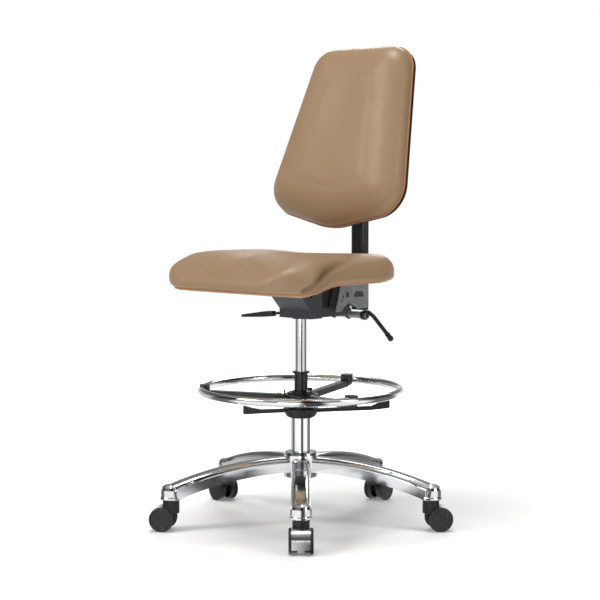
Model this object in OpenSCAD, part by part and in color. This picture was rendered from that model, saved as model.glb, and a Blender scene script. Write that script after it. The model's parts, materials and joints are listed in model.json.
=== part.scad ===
// Adjustable swivel work stool with backrest, foot ring and five twin-wheel casters.
// Millimetres. The origin is on the floor on the column's axis, +Z is up, the seat faces -Y.

/* [Base] */
// Radius of the circle through the caster stems
stem_r = 330; // [290:1:350]
// Direction of the first arm, degrees
arm_start = -47; // [-90:1:90]
// Height of the arm's top where it leaves the hub
arm_top = 165; // [150:1:180]
// How far the arm's top drops from the hub to its end
arm_drop = 53; // [30:1:70]
// Width of an arm
arm_w = 46; // [40:1:48]
// Depth of an arm
arm_h = 36; // [28:1:42]
// Radius of the arm's rounded top edges
arm_round = 13; // [6:1:16]
// Wall of the hollow arm
arm_wall = 5; // [3:0.5:8]
// Radius of the hub
hub_r = 42; // [41:1:46]
// Top of the hub
hub_top = 178; // [170:1:190]
// Bottom of the hub
hub_low = 114; // [85:1:120]

/* [Casters] */
// Wheel radius
wheel_r = 30; // [25:0.5:32.5]
// Distance from stem axis to wheel axle
trail = 20; // [15:1:25]
// Half the caster's overall width
caster_half = 28.5; // [24:0.5:32]
// Axle pin radius
axle_r = 4; // [3:0.1:5]
// Neck radius above the wheels
neck_r = 20; // [16:0.5:24]
// Top of the neck
neck_top = 75.5; // [70:0.5:82]
// Stem radius
stem_pin_r = 5.5; // [4.5:0.1:6]

/* [Gas column] */
// Outer radius of the column tube
column_r = 25; // [22:0.5:30]
// Top of the column tube
column_top = 324; // [322:1:400]
// Top of the guide bush
guide_top = 376; // [360:1:400]
// Radius of the guide bush above the column tube
neck_guide_r = 16.6; // [15.5:0.1:24]
// Bottom of the column tube
column_low = 84; // [70:1:90]
// Radius of the pressure tube
rod_r = 14; // [11:0.5:16]
// Bottom of the pressure tube with the seat as shown
tube_low = 180; // [176:1:200]
// Top of the pressure tube with the seat as shown
tube_top = 541; // [530:1:560]

/* [Foot ring] */
// Centreline radius of the ring
ring_r = 244.5; // [200:0.5:260]
// Radius of the ring's tube
ring_tube = 9.5; // [8:0.5:12.5]
// Height of the ring's centreline
ring_z = 330; // [260:1:340]
// Direction of the first spoke, degrees
spoke_start = 103; // [0:1:120]
// Spoke width
spoke_w = 20; // [14:1:26]
// Spoke depth
spoke_h = 16; // [12:1:22]
// Radius of the long handle's tip
handle_long = 220; // [150:1:226]
// Radius of the short handle's tip
handle_short = 143; // [90:1:160]
// Direction of the long handle, degrees
handle_a = 47; // [0:1:90]

/* [Seat] */
// Seat width
seat_w = 464; // [420:1:520]
// Front edge of the seat
seat_front = -292; // [-320:1:-240]
// Rear edge of the seat
seat_rear = 155; // [130:1:180]
// Corner radius of the seat
seat_corner = 110; // [60:1:150]
// Height of the cushion's underside at the rear
seat_low = 602; // [560:1:640]
// Height of the cushion's top over the middle
seat_top = 670; // [630:1:720]
// How far the underside dips under the front edge
seat_dip = 24; // [0:1:40]
// How far the front rolls down from the top
seat_fall = 63; // [20:1:90]
// Thickness of the seat board
board_t = 12; // [9:0.5:18]

/* [Backrest] */
// Recline of the backrest, degrees
recline = 17.7; // [5:0.1:25]
// Height of the widest line of the backrest
back_z = 820; // [780:1:880]
// Position of the seam plane at that height
back_y = 144; // [100:1:170]
// Half width at the widest line
back_half = 208; // [180:1:230]
// Half width at the top
back_top_half = 158; // [100:1:180]
// Length below the widest line
back_below = 98; // [80:1:140]
// Length above the widest line
back_above = 373; // [300:1:420]
// Depth of the back cushion
back_cushion_t = 60; // [40:1:80]
// Depth of the shell's rim
shell_rim = 14; // [8:1:25]
// Depth of the shell at its middle
shell_deep = 40; // [25:1:50]

/* [Mechanism] */
// Half width of the housing
house_half = 52; // [40:1:60]
// Sheet thickness of the housing and bracket
sheet = 3; // [2:0.5:5]
// Half width of the housing's rear tongue
tongue_half = 26; // [20:1:30]
// Inner half width of the back bracket
bracket_half = 36; // [32:1:45]
// Position of the back pivot
pivot_y = 112; // [100:1:125]
// Height of the back pivot
pivot_z = 540; // [525:1:555]
// Position of the lock shaft
shaft_y = 150; // [140:1:160]
// Height of the lock shaft
shaft_z = 509; // [500:1:520]

/* [Upright] */
// Width of the oval upright
upright_w = 50; // [35:1:60]
// Depth of the oval upright
upright_d = 24; // [14:1:28]
// Position of the upright behind the seat
upright_y = 220.6; // [200:0.1:240]
// Height where the upright starts to bend back
bend_z = 835; // [780:1:860]
// Bend radius
bend_r = 120; // [80:1:200]
// Length of the straight part above the bend
upright_top = 190; // [150:1:240]

/* [Hidden] */
$fn = 64;
eps = 0.01;
run_gap = 0.05;
arm_l = stem_r - 30;
arch_r = (arm_l * arm_l + arm_drop * arm_drop) / (2 * arm_drop);
arch_a = asin(arm_l / arch_r);
tube_in = 12.2;
collet_r = 30;
spoke_in = 38.2;
spoke_out = 234;
spoke_z_in = 311;
spoke_slope = 2.9;
seat_half = seat_w / 2;
lever_z = 520;
lever_x = -44;
bolt_x = 62;
bolt_ys = [-70, 85];
sleeve_n = (upright_y + bend_r * (1 - cos(recline)) - back_y) * cos(recline)
    - (bend_z + bend_r * sin(recline) - back_z) * sin(recline);
sleeve_v = 116;
sleeve_len = 110;
hood_r = wheel_r - 2.3;
caster_turn = [0, 26, 0, 0, -26];

// ---- shared helpers ----

// Round bar from point a to point b.
module bar(a, b, r) {
    d = b - a;
    len = norm(d);
    translate(a)
        rotate([0, acos(d[2] / len), atan2(d[1], d[0])])
            cylinder(r = r, h = len);
}

// Bent round rod through a list of points, with slightly fuller elbows.
module rod_path(pts, r) {
    for (i = [0 : len(pts) - 2]) bar(pts[i], pts[i + 1], r);
    if (len(pts) > 2) {
        for (i = [1 : len(pts) - 2]) translate(pts[i]) sphere(r = r + 0.15);
    }
}

// Cylinder along X between two X positions, centred on (y, z).
module pin_x(x0, x1, y, z, r) {
    translate([x0, y, z]) rotate([0, 90, 0]) cylinder(r = r, h = x1 - x0);
}

// Cylinder along Y between two Y positions, centred on (x, z).
module pin_y(y0, y1, x, z, r) {
    translate([x, y0, z]) rotate([-90, 0, 0]) cylinder(r = r, h = y1 - y0);
}

// Plate from a profile drawn in (Y, Z), standing between two X positions.
module plate_x(x0, x1, pts) {
    translate([x0, 0, 0]) rotate([90, 0, 90]) linear_extrude(x1 - x0) polygon(pts);
}

module ring_solid(r_in, r_out, z0, z1) {
    translate([0, 0, z0]) difference() {
        cylinder(r = r_out, h = z1 - z0);
        translate([0, 0, -1]) cylinder(r = r_in, h = z1 - z0 + 2);
    }
}

function arm_angle(i) = arm_start + 72 * (i - 1);

// Radius of the hub's tapered bore, a little over the column's taper.
function taper_r(z) = 23.4 + 1.6 * (z - column_low) / (hub_top + 1 - column_low) + 0.065;

// ---- base ----

module at_arm(i) {
    rotate([0, 0, arm_angle(i)]) children();
}

// Arm section, drawn as (distance from the arch's centre, sideways).
module arm_section(w, h, r, top) {
    translate([top - h, -w / 2]) square([h - r, w]);
    translate([top - r - eps, -w / 2 + r]) square([r + eps, w - 2 * r]);
    for (s = [-1, 1]) translate([top - r, s * (w / 2 - r)]) circle(r = r);
}

module arch(w, h, r, drop, a0, a1) {
    translate([30, 0, arm_top - arch_r])
        rotate([90, 0, 0])
            rotate([0, 0, 90 - a1])
                rotate_extrude(angle = a1 - a0, $fn = 360) arm_section(w, h, r, arch_r - drop);
}

module arm_boss() {
    translate([stem_r, 0, 0]) rotate_extrude() polygon([
        [0, 76.5], [24.5, 76.5], [26, 78], [26, 82], [24.5, 84.5], [24.5, 100], [22, 107], [15, 112], [0, 114]
    ]);
}

module base_star() {
    color([0.80, 0.81, 0.83]) difference() {
        union() {
            rotate_extrude() polygon([
                [0, hub_low], [hub_r - 3, hub_low], [hub_r, hub_low + 3], [hub_r, hub_top - 8],
                [hub_r - 2, hub_top - 3], [hub_r - 6, hub_top], [0, hub_top]
            ]);
            for (i = [1 : 5]) at_arm(i) {
                arch(arm_w, arm_h, arm_round, 0, 0, arch_a);
                arm_boss();
            }
        }
        for (i = [1 : 5]) at_arm(i) {
            arch(arm_w - 2 * arm_wall, arm_h, arm_round - arm_wall, arm_wall, arch_a * 0.12, arch_a * 0.9);
            translate([stem_r, 0, 70]) cylinder(r = stem_pin_r + run_gap, h = 29);
        }
        translate([0, 0, hub_low - 1]) cylinder(r1 = taper_r(hub_low - 1), r2 = taper_r(hub_top + 1), h = hub_top - hub_low + 2);
    }
}

module caster_stems() {
    color([0.62, 0.63, 0.65]) for (i = [1 : 5]) at_arm(i) translate([stem_r, 0, 0]) {
        translate([0, 0, 58.5]) cylinder(r = stem_pin_r, h = 40);
        translate([0, 0, 75.65]) cylinder(r = 9, h = 0.7);
    }
}

module column_tube() {
    color([0.86, 0.87, 0.88]) rotate_extrude() polygon([
        [6.1, column_low], [23.4, column_low], [25, hub_top + 1], [column_r, column_top],
        [23, column_top], [23, 290], [21.4, 288], [21.4, column_low + 6], [6.1, column_low + 6]
    ]);
}

module column_guide() {
    color([0.05, 0.05, 0.05]) rotate_extrude() polygon([
        [rod_r + run_gap, 292], [22.9, 292], [22.9, column_top + 0.1], [column_r, column_top + 0.1],
        [column_r, column_top + 2.5], [neck_guide_r, column_top + 5], [neck_guide_r, guide_top - 5],
        [neck_guide_r + 4.5, guide_top - 4], [neck_guide_r + 4.5, guide_top - 1], [neck_guide_r + 3.5, guide_top],
        [rod_r + run_gap, guide_top]
    ]);
}

module thrust_bearing() {
    color([0.55, 0.55, 0.57]) ring_solid(6.2, 16, column_low + 6.1, column_low + 12);
}

module piston_rod() {
    color([0.75, 0.76, 0.78]) {
        translate([0, 0, 79]) cylinder(r = 5, h = 202);
        translate([0, 0, column_low + 12.1]) cylinder(r = 12, h = 3.9);
        translate([0, 0, 268]) cylinder(r = 12.1, h = 13);
    }
}

module rod_clip() {
    color([0.35, 0.35, 0.36]) ring_solid(5.02, 10, 81.5, 83.5);
}

module pressure_tube() {
    color([0.88, 0.89, 0.90]) rotate_extrude() polygon([
        [5 + run_gap, tube_low], [rod_r, tube_low], [rod_r, tube_top], [4 + run_gap, tube_top],
        [4 + run_gap, tube_top - 12], [tube_in, tube_top - 12], [tube_in, tube_low + 10],
        [5 + run_gap, tube_low + 10]
    ]);
}

module valve_pin() {
    color([0.45, 0.46, 0.48]) translate([0, 0, 505]) cylinder(r = 4, h = 43.5);
}

// ---- casters: local x points away from the column, local y runs along the axle ----

module at_caster(i) {
    at_arm(i) translate([stem_r, 0, 0]) rotate([0, 0, caster_turn[i - 1]]) children();
}

module at_axle() {
    translate([trail, 0, wheel_r]) rotate([90, 0, 0]) children();
}

module caster_housing(i) {
    color([0.06, 0.06, 0.065]) at_caster(i) difference() {
        union() {
            difference() {
                translate([0, 0, 44]) cylinder(r = neck_r, h = neck_top - 44);
                at_axle() cylinder(r = wheel_r - 0.1, h = 60, center = true);
            }
            rotate([90, 0, 0]) linear_extrude(10, center = true) polygon([
                [-11, 64], [15, 64], [27, 36], [27, 25], [14, 23], [4, 36]
            ]);
            at_axle() cylinder(r = 9, h = 14, center = true);
        }
        translate([0, 0, 58]) cylinder(r = stem_pin_r + 0.06, h = 30);
        at_axle() cylinder(r = axle_r + 0.02, h = 40, center = true);
    }
}

module caster_hood(i) {
    color([0.86, 0.87, 0.88]) at_caster(i) difference() {
        at_axle() {
            rotate([0, 0, -35]) rotate_extrude(angle = 185) translate([hood_r, -21.5]) square([2, 43]);
            rotate([0, 0, -62]) rotate_extrude(angle = 30) translate([hood_r + 0.3, -7]) square([1.4, 14]);
        }
        translate([-26, -5.3, 44]) cube([51, 10.6, 30]);
    }
}

module caster_axle(i) {
    color([0.70, 0.71, 0.73]) at_caster(i) at_axle() cylinder(r = axle_r, h = 48, center = true);
}

module caster_wheel(i, side) {
    c = caster_half;
    color([0.05, 0.05, 0.05]) at_caster(i) translate([trail, 0, wheel_r]) rotate([side * -90, 0, 0])
        rotate_extrude() polygon([
            [0, 24.6], [axle_r + run_gap, 24.6], [axle_r + run_gap, 7.2], [9, 7.2], [9, 22.5], [24, 22.5],
            [24, 8], [26.4, 8], [wheel_r - 3, 9], [wheel_r - 3, 21.6], [wheel_r - 0.4, 22], [wheel_r, 22.8],
            [wheel_r, c - 3.4], [wheel_r - 1, c - 1.2], [wheel_r - 3, c], [24.5, c], [23, c - 1],
            [16, c - 0.5], [5, c - 0.2], [0, c - 0.2]
        ]);
}

// ---- foot ring ----

module at_spoke(k) {
    rotate([0, 0, spoke_start + 120 * k]) children();
}

// Spoke frame: x runs outward along the rising bar, z is square to it.
module along_spoke() {
    translate([spoke_in, 0, spoke_z_in]) rotate([0, -spoke_slope, 0]) children();
}

module ring_collet() {
    color([0.06, 0.06, 0.06]) difference() {
        rotate_extrude() polygon([
            [column_r + 0.06, 262], [collet_r, 262], [collet_r, 320.4], [33, 320.8], [33, 324],
            [column_r + 0.06, 324]
        ]);
        for (k = [0 : 3]) rotate([0, 0, 20 + 90 * k]) translate([20, -1.5, 290]) cube([20, 3, 45]);
    }
}

module ring_hub() {
    color([0.07, 0.07, 0.07]) difference() {
        union() {
            translate([0, 0, 298]) cylinder(r = 42, h = 22);
            for (k = [0 : 2]) at_spoke(k) translate([25, -13, 297]) cube([39, 26, 22]);
        }
        translate([0, 0, 290]) cylinder(r = collet_r + run_gap, h = 40);
        for (k = [0 : 2]) at_spoke(k) along_spoke() {
            translate([-0.2, -spoke_w / 2 - 0.1, -spoke_h / 2 - 0.1]) cube([60, spoke_w + 0.2, 40]);
            translate([16, 0, -30]) cylinder(r = 2.55, h = 60);
        }
    }
}

module spoke_bar() {
    difference() {
        translate([0, -spoke_w / 2, -spoke_h / 2]) cube([spoke_out - spoke_in - 4, spoke_w, spoke_h]);
        translate([-1, -spoke_w / 2 + 3, -spoke_h / 2 - 1]) cube([185, spoke_w - 6, spoke_h - 2.5]);
        translate([16, 0, -20]) cylinder(r = 2.55, h = 40);
    }
}

module ring_spokes() {
    color([0.07, 0.07, 0.07]) for (k = [0 : 2]) at_spoke(k) {
        along_spoke() {
            spoke_bar();
            translate([1.5, -8, 5]) cube([3.5, 16, 14]);
        }
        difference() {
            translate([225, -11, 316]) cube([24, 22, 27.5]);
            translate([0, 0, ring_z]) rotate([0, 0, -20]) rotate_extrude(angle = 40)
                translate([ring_r, 0]) circle(r = ring_tube + 0.15);
            translate([ring_r, -20, 300]) cube([20, 40, 30]);
        }
    }
}

module ring_screws() {
    color([0.55, 0.56, 0.58]) for (k = [0 : 2]) at_spoke(k) along_spoke() {
        translate([16, 0, -11]) cylinder(r = 2.5, h = 19.5);
        translate([16, 0, 8.05]) cylinder(r = 4.8, h = 2.6);
    }
}

// Hollow tube bent to a ring, with one small vent under it.
module foot_ring() {
    color([0.86, 0.87, 0.88]) translate([0, 0, ring_z]) difference() {
        rotate_extrude($fn = 128) translate([ring_r, 0]) circle(r = ring_tube);
        rotate_extrude($fn = 128) translate([ring_r, 0]) circle(r = ring_tube - 1.6);
        rotate([0, 0, 50]) translate([ring_r, 0, -ring_tube - 2]) cylinder(r = 2, h = 6);
    }
}

module lock_handle(tip, lift) {
    rotate([90, 0, 0]) linear_extrude(11, center = true) polygon([
        [40, 274], [tip - 45, 277 - lift / 2], [tip - 4, 280 - lift], [tip, 282 - lift], [tip, 299 - lift], [tip - 3, 301 - lift],
        [tip - 22, 296 - lift], [tip - 45, 286.5 - lift / 2], [40, 283]
    ]);
}

module lock_nut() {
    color([0.06, 0.06, 0.06]) difference() {
        union() {
            rotate_extrude() polygon([
                [collet_r + run_gap, 264], [35, 264], [44.5, 279], [44.5, 283], [43, 284.5],
                [collet_r + run_gap, 284.5]
            ]);
            rotate([0, 0, handle_a]) lock_handle(handle_long, -2);
            rotate([0, 0, handle_a + 180]) lock_handle(handle_short, 10);
        }
        for (k = [0 : 11]) rotate([0, 0, handle_a + 15 + 30 * k])
            translate([46.5, 0, 255]) cylinder(r = 4, h = 40);
    }
}

// ---- mechanism ----

function house_profile(g) = [
    [-62 + g, 597.8], [-62 + g, 573 + g / 2], [-22 + g, 530.5 + g / 2], [-22 + g, 508 + g],
    [20 - g, 508 + g], [20 - g, 597.8]
];

module tongue() {
    difference() {
        union() {
            plate_x(-tongue_half, tongue_half, [
                [17, 590], [17, 507], [shaft_y, 507], [shaft_y + 8, 520], [130, 562], [70, 590]
            ]);
            pin_x(-tongue_half, tongue_half, shaft_y, shaft_z, 12);
        }
        translate([-tongue_half + sheet, 22, 511]) cube([2 * (tongue_half - sheet), 170, 90]);
        translate([-tongue_half + sheet, 118, 480]) cube([2 * (tongue_half - sheet), 80, 90]);
    }
}

module mech_housing() {
    color([0.27, 0.29, 0.31]) difference() {
        union() {
            difference() {
                plate_x(-house_half, house_half, house_profile(0));
                plate_x(-house_half + sheet, house_half - sheet, concat(
                    house_profile(sheet), [[-30, 640]]
                ));
            }
            translate([0, 0, 506]) cylinder(r = 21.5, h = 34);
            tongue();
        }
        translate([0, 0, 500]) cylinder(r = rod_r + 0.03, h = 60);
        pin_x(-60, 60, pivot_y, pivot_z, 5.02);
        pin_x(-60, 60, shaft_y, shaft_z, 8.5 + run_gap);
        pin_y(-30, 30, lever_x, lever_z, 3.05);
        translate([-60, -8, 511.5]) cube([12, 16, 24]);
        for (y = [-44, 2]) pin_x(40, 60, y, 580, 4);
        pin_x(40, 60, -18, 562, 3);
    }
}

module seat_plate() {
    color([0.20, 0.21, 0.22]) difference() {
        plate_x(-75, 75, [[-88, 598], [-82, 598], [105, 598], [105, 601.8], [-88, 601.8]]);
        for (x = [-bolt_x, bolt_x], y = bolt_ys) translate([x, y, 590]) cylinder(r = 3.3, h = 20);
        translate([0, 0, 590]) cylinder(r = 20, h = 20);
    }
}

module seat_bolts() {
    color([0.55, 0.56, 0.58]) for (x = [-bolt_x, bolt_x], y = bolt_ys) translate([x, y, 0]) {
        translate([0, 0, 593.4]) cylinder(r = 5.5, h = 4.5, $fn = 6);
        translate([0, 0, 597]) cylinder(r = 3, h = 14);
    }
}

module seat_tee_nuts() {
    color([0.70, 0.66, 0.52]) for (x = [-bolt_x, bolt_x], y = bolt_ys) translate([x, y, 0]) {
        ring_solid(3.05, 4, seat_low + 0.4, seat_low + board_t - 1.4);
        ring_solid(3.05, 9, seat_low + board_t - 1.5, seat_low + board_t - 0.1);
    }
}

module brake_plates() {
    color([0.04, 0.04, 0.045]) for (s = [0, 1]) mirror([s, 0, 0]) difference() {
        union() {
            plate_x(27, 30, [[28, 534], [44, 586], [62, 586], [108, 560], [124, 532], [60, 530]]);
            plate_x(31.5, 34.5, [[64, 530], [80, 587], [100, 587], [126, 556], [124, 530]]);
            pin_x(29.5, 32, pivot_y, pivot_z, 9);
        }
        pin_x(20, 60, pivot_y, pivot_z, 5.02);
    }
}

module pivot_pin() {
    color([0.60, 0.61, 0.62]) {
        pin_x(-43, 43, pivot_y, pivot_z, 5);
        pin_x(-44, -40, pivot_y, pivot_z, 8);
        pin_x(40, 44, pivot_y, pivot_z, 8);
    }
}

module lock_shaft() {
    color([0.72, 0.73, 0.74]) difference() {
        pin_x(-34, 86, shaft_y, shaft_z, 8.5);
        pin_x(-40, 90, shaft_y, shaft_z, 5.5);
    }
}

lever_path = [[76, 150, 517], [91, 150, 517], [106, 150, 508], [160, 150, 458]];

module back_lever_rod() {
    color([0.05, 0.05, 0.05]) difference() {
        union() {
            pin_x(71, 81, shaft_y, shaft_z, 11.5);
            rod_path(lever_path, 5);
        }
        pin_x(60, 90, shaft_y, shaft_z, 8.52);
    }
}

module back_lever_knob() {
    p = lever_path[2];
    q = lever_path[3];
    d = (q - p) / norm(q - p);
    color([0.04, 0.04, 0.04]) difference() {
        union() {
            translate(q + 2 * d) sphere(r = 7.2);
            bar(q - 14 * d, q, 6.2);
        }
        bar(q - 20 * d, q + 0.05 * d, 5.02);
    }
}

module height_lever_rod() {
    color([0.05, 0.05, 0.05]) {
        rod_path([
            [2, 0, 553], [-34, 0, 550], [lever_x, 0, lever_z], [-62, -2, 516.5], [-90, -9, 513.5], [-128, -17, 509.5]
        ], 3.5);
        pin_y(-21.8, 19.8, lever_x, lever_z, 3);
    }
}

module height_lever_paddle() {
    color([0.05, 0.05, 0.05]) translate([-84, -8, 514]) rotate([0, 5.5, 191.5]) difference() {
        intersection() {
            rotate([90, 0, 0]) linear_extrude(40, center = true) polygon([
                [0, -6.5], [0, 6.5], [30, 7], [92, 3], [95, 0], [92, -3], [30, -6]
            ]);
            translate([0, 0, -20]) linear_extrude(40) union() {
                polygon([[0, -8], [36, -14], [83, -14], [83, 14], [36, 14], [0, 8]]);
                translate([83, 0]) scale([0.86, 1]) circle(r = 14);
            }
        }
        translate([-10, 0, -0.2]) rotate([0, 90, 0]) cylinder(r = 4.6, h = 58);
    }
}

// ---- seat ----

module seat_outline(g) {
    x = seat_half - seat_corner;
    hull() for (sx = [-1, 1], y = [seat_front + seat_corner, seat_rear - seat_corner])
        translate([sx * x, y]) circle(r = seat_corner - g, $fn = 96);
}

function quarter(t) = 1 - sqrt(max(0, 1 - t * t));
function ease(t) = let (c = min(1, max(0, t))) c * c * (3 - 2 * c);

// Height of the cushion's underside and top along Y.
function seat_under(y) = seat_low - seat_dip * ease((-105 - y) / 120);
function seat_over(y) = seat_top
    - (y < -125 ? seat_fall * quarter((-125 - y) / (-125 - seat_front)) : 0)
    - (y > 0 ? 11 * pow(y / seat_rear, 2) : 0)
    - (y > seat_rear - 46 ? 38 * quarter((y - seat_rear + 46) / 46) : 0);
function front_tuck(y) = y < seat_front + 70 ? 28 * quarter((seat_front + 70 - y) / 70) : 0;

seat_ys = [for (i = [0 : 36]) seat_rear + (seat_front - seat_rear) * (1 - cos(5 * i)) / 2];
seat_side = concat(
    [for (y = seat_ys) [y, seat_over(y)]],
    [for (i = [36 : -1 : 0]) [seat_ys[i], seat_under(seat_ys[i]) + front_tuck(seat_ys[i])]]
);
function board_ys(g) = [for (i = [0 : 14]) seat_rear - 10 + (seat_front + 82 - g - seat_rear) * i / 14];

module board_body(g) {
    ys = board_ys(g);
    intersection() {
        plate_x(-seat_half, seat_half, concat(
            [for (y = ys) [y, seat_under(y) + board_t + g]],
            [for (i = [14 : -1 : 0]) [ys[i], seat_under(ys[i]) - 10 * sign(g)]]
        ));
        translate([0, 0, 560]) linear_extrude(80) seat_outline(20 - g);
    }
}

module seat_board() {
    color([0.72, 0.56, 0.36]) difference() {
        board_body(0);
        for (x = [-bolt_x, bolt_x], y = bolt_ys) translate([x, y, 0]) {
            translate([0, 0, 590]) cylinder(r = 4.05, h = 40);
            translate([0, 0, seat_low + board_t - 1.6]) cylinder(r = 9.1, h = 10);
        }
    }
}

// Front view of the cushion: rounded shoulders over straight sides.
function shoulder(x) = abs(x) > seat_half - 46 ? 42 * quarter((abs(x) - seat_half + 46) / 46) : 0;

module seat_cushion() {
    xs = [for (i = [0 : 40]) seat_half * sin(-90 + 180 * i / 40)];
    color([0.66, 0.55, 0.42]) difference() {
        intersection() {
            plate_x(-seat_half, seat_half, seat_side);
            translate([0, 0, 560]) linear_extrude(130) seat_outline(0);
            translate([0, 200, 0]) rotate([90, 0, 0]) linear_extrude(520) polygon(concat(
                [for (x = xs) [x, seat_top + 1 - shoulder(x)]], [[seat_half, 570], [-seat_half, 570]]
            ));
        }
        board_body(0.2);
    }
}

// ---- backrest and its frame ----

// Side plate of the bracket as a (Y, Z) profile with its windows cut out.
module bracket_side() {
    rotate([90, 0, 90]) linear_extrude(sheet + 0.5) difference() {
        polygon([[104, 588], [208.5, 588], [208.5, 523], [84, 518]]);
        translate([139, 504]) circle(r = 34);
        translate([pivot_y, pivot_z]) circle(r = 5.05);
        translate([113, 556]) circle(r = 3);
        translate([123, 552]) square([10, 14]);
        intersection() {
            translate([172, 552]) circle(r = 20);
            translate([140, 552]) square([64, 15]);
        }
    }
}

module back_bracket() {
    color([0.62, 0.64, 0.66]) difference() {
        union() {
            translate([bracket_half, 0, 0]) bracket_side();
            translate([-bracket_half - sheet - 0.5, 0, 0]) bracket_side();
            translate([-bracket_half - 1, 205, 523]) cube([2 * bracket_half + 2, 3.5, 65]);
        }
        for (z = [540, 570]) pin_y(190, 230, 0, z, 4.2);
    }
}

module oval(w, d) {
    square([w - d, d], center = true);
    for (s = [-1, 1]) translate([s * (w - d) / 2, 0]) circle(r = d / 2);
}

// Upright tube: straight, then a slightly fuller bend to the recline, then straight again.
module upright_run(w, d, grow) {
    translate([0, upright_y, 515 - grow]) linear_extrude(bend_z - 514 + grow) oval(w, d);
    translate([0, upright_y + bend_r, bend_z]) {
        rotate([0, 90, 0]) rotate([0, 0, 270 - recline]) rotate_extrude(angle = recline, $fn = 180)
            translate([bend_r, 0]) rotate([0, 0, 90]) oval(w + 0.2, d + 0.2);
        rotate([-recline, 0, 0])
            translate([0, -bend_r, -1]) linear_extrude(upright_top + grow + 1) oval(w, d);
    }
}

module back_upright() {
    color([0.05, 0.05, 0.055]) difference() {
        upright_run(upright_w, upright_d, 0);
        upright_run(upright_w - 5, upright_d - 5, 2);
        for (z = [540, 570]) pin_y(200, 221, 0, z, 4.05);
    }
}

module upright_bolts() {
    color([0.55, 0.56, 0.58]) for (z = [540, 570]) {
        pin_y(204, 220, 0, z, 4);
        translate([0, 199.8, z]) rotate([-90, 0, 0]) cylinder(r = 6.5, h = 5.1, $fn = 6);
    }
}

// Backrest frame: z runs up the backrest, y runs to its rear, from the seam plane.
module in_back() {
    translate([0, back_y, back_z]) rotate([-recline, 0, 0]) children();
}

// Discs whose hull is the backrest's outline, as [across, up, radius], brought in by g.
function back_spots(g) = let (low = max(0, g - 60), top = max(0, g - 50)) [
    [0, 183 - back_below, 183 - g],
    for (s = [-1, 1]) each [
        [s * (back_half - 75 - low), 5 + low, 75 - g + low],
        [s * (back_top_half - 68 - top), back_above - 68 - top, 68 - g + top]
    ]
];

module back_slab(g, n0, n1) {
    translate([0, n1, 0]) rotate([90, 0, 0]) linear_extrude(n1 - n0) hull()
        for (d = back_spots(g)) translate([d[0], d[1]]) circle(r = d[2], $fn = 96);
}

// The same discs as thin plates between two depths.
module back_discs(g, n0, n1) {
    for (d = back_spots(g)) translate([d[0], n1, d[1]])
        rotate([90, 0, 0]) cylinder(r = d[2], h = n1 - n0, $fn = 72);
}

module back_cushion() {
    t = back_cushion_t;
    color([0.66, 0.55, 0.42]) in_back() difference() {
        hull() {
            back_discs(3, -2, -0.3);
            back_discs(0, -t * 0.45, -t * 0.2);
            back_discs(3, -t * 0.66, -t * 0.62);
            back_discs(10, -t * 0.84, -t * 0.81);
            back_discs(24, -t * 0.95, -t * 0.92);
            back_discs(62, -t, -t * 0.97);
        }
        back_slab(17.5, -12.7, 1);
    }
}

module back_board() {
    color([0.72, 0.56, 0.36]) in_back() back_slab(18, -12.4, -0.4);
}

module back_shell() {
    color([0.05, 0.05, 0.055]) in_back() difference() {
        hull() {
            back_discs(1, 0, shell_rim - 4);
            back_discs(3.5, shell_rim - 2, shell_rim - 1);
            back_discs(14, shell_rim + 5, shell_rim + 6);
            back_discs(36, shell_deep - 7, shell_deep - 6);
            back_discs(80, shell_deep - 1, shell_deep);
        }
        hull() {
            back_discs(5, -1, shell_rim - 6);
            back_discs(38, shell_deep - 11, shell_deep - 10);
            back_discs(82, shell_deep - 4.5, shell_deep - 4);
        }
    }
}

module back_sleeve() {
    color([0.06, 0.06, 0.06]) in_back() difference() {
        union() {
            translate([-33, shell_deep + 0.1, sleeve_v]) cube([66, sleeve_n + 17 - shell_deep, sleeve_len]);
            translate([-46, shell_deep + 0.1, sleeve_v - 8]) cube([92, 5, sleeve_len + 16]);
        }
        translate([0, sleeve_n + 0.03, sleeve_v - 20]) linear_extrude(sleeve_len + 40) oval(
            upright_w + 0.24, upright_d + 0.24
        );
    }
}

base_star();
column_tube();
column_guide();
thrust_bearing();
caster_stems();
caster_housing(1);  // caster_1_housing
caster_hood(1);  // caster_1_hood
caster_axle(1);  // caster_1_axle
caster_wheel(1, 1);  // caster_1_wheel_a
caster_wheel(1, -1);  // caster_1_wheel_b
caster_housing(2);  // caster_2_housing
caster_hood(2);  // caster_2_hood
caster_axle(2);  // caster_2_axle
caster_wheel(2, 1);  // caster_2_wheel_a
caster_wheel(2, -1);  // caster_2_wheel_b
caster_housing(3);  // caster_3_housing
caster_hood(3);  // caster_3_hood
caster_axle(3);  // caster_3_axle
caster_wheel(3, 1);  // caster_3_wheel_a
caster_wheel(3, -1);  // caster_3_wheel_b
caster_housing(4);  // caster_4_housing
caster_hood(4);  // caster_4_hood
caster_axle(4);  // caster_4_axle
caster_wheel(4, 1);  // caster_4_wheel_a
caster_wheel(4, -1);  // caster_4_wheel_b
caster_housing(5);  // caster_5_housing
caster_hood(5);  // caster_5_hood
caster_axle(5);  // caster_5_axle
caster_wheel(5, 1);  // caster_5_wheel_a
caster_wheel(5, -1);  // caster_5_wheel_b
piston_rod();
rod_clip();
pressure_tube();
valve_pin();
ring_collet();
ring_hub();
ring_spokes();
ring_screws();
foot_ring();
lock_nut();
mech_housing();
seat_plate();
seat_bolts();
seat_tee_nuts();
seat_board();
seat_cushion();
brake_plates();
pivot_pin();
lock_shaft();
back_lever_rod();
back_lever_knob();
height_lever_rod();
height_lever_paddle();
back_bracket();
back_upright();
upright_bolts();
back_sleeve();
back_shell();
back_board();
back_cushion();
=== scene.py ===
"""Adjustable swivel stool: upholstery, materials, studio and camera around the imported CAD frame."""
import json
import math

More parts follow.
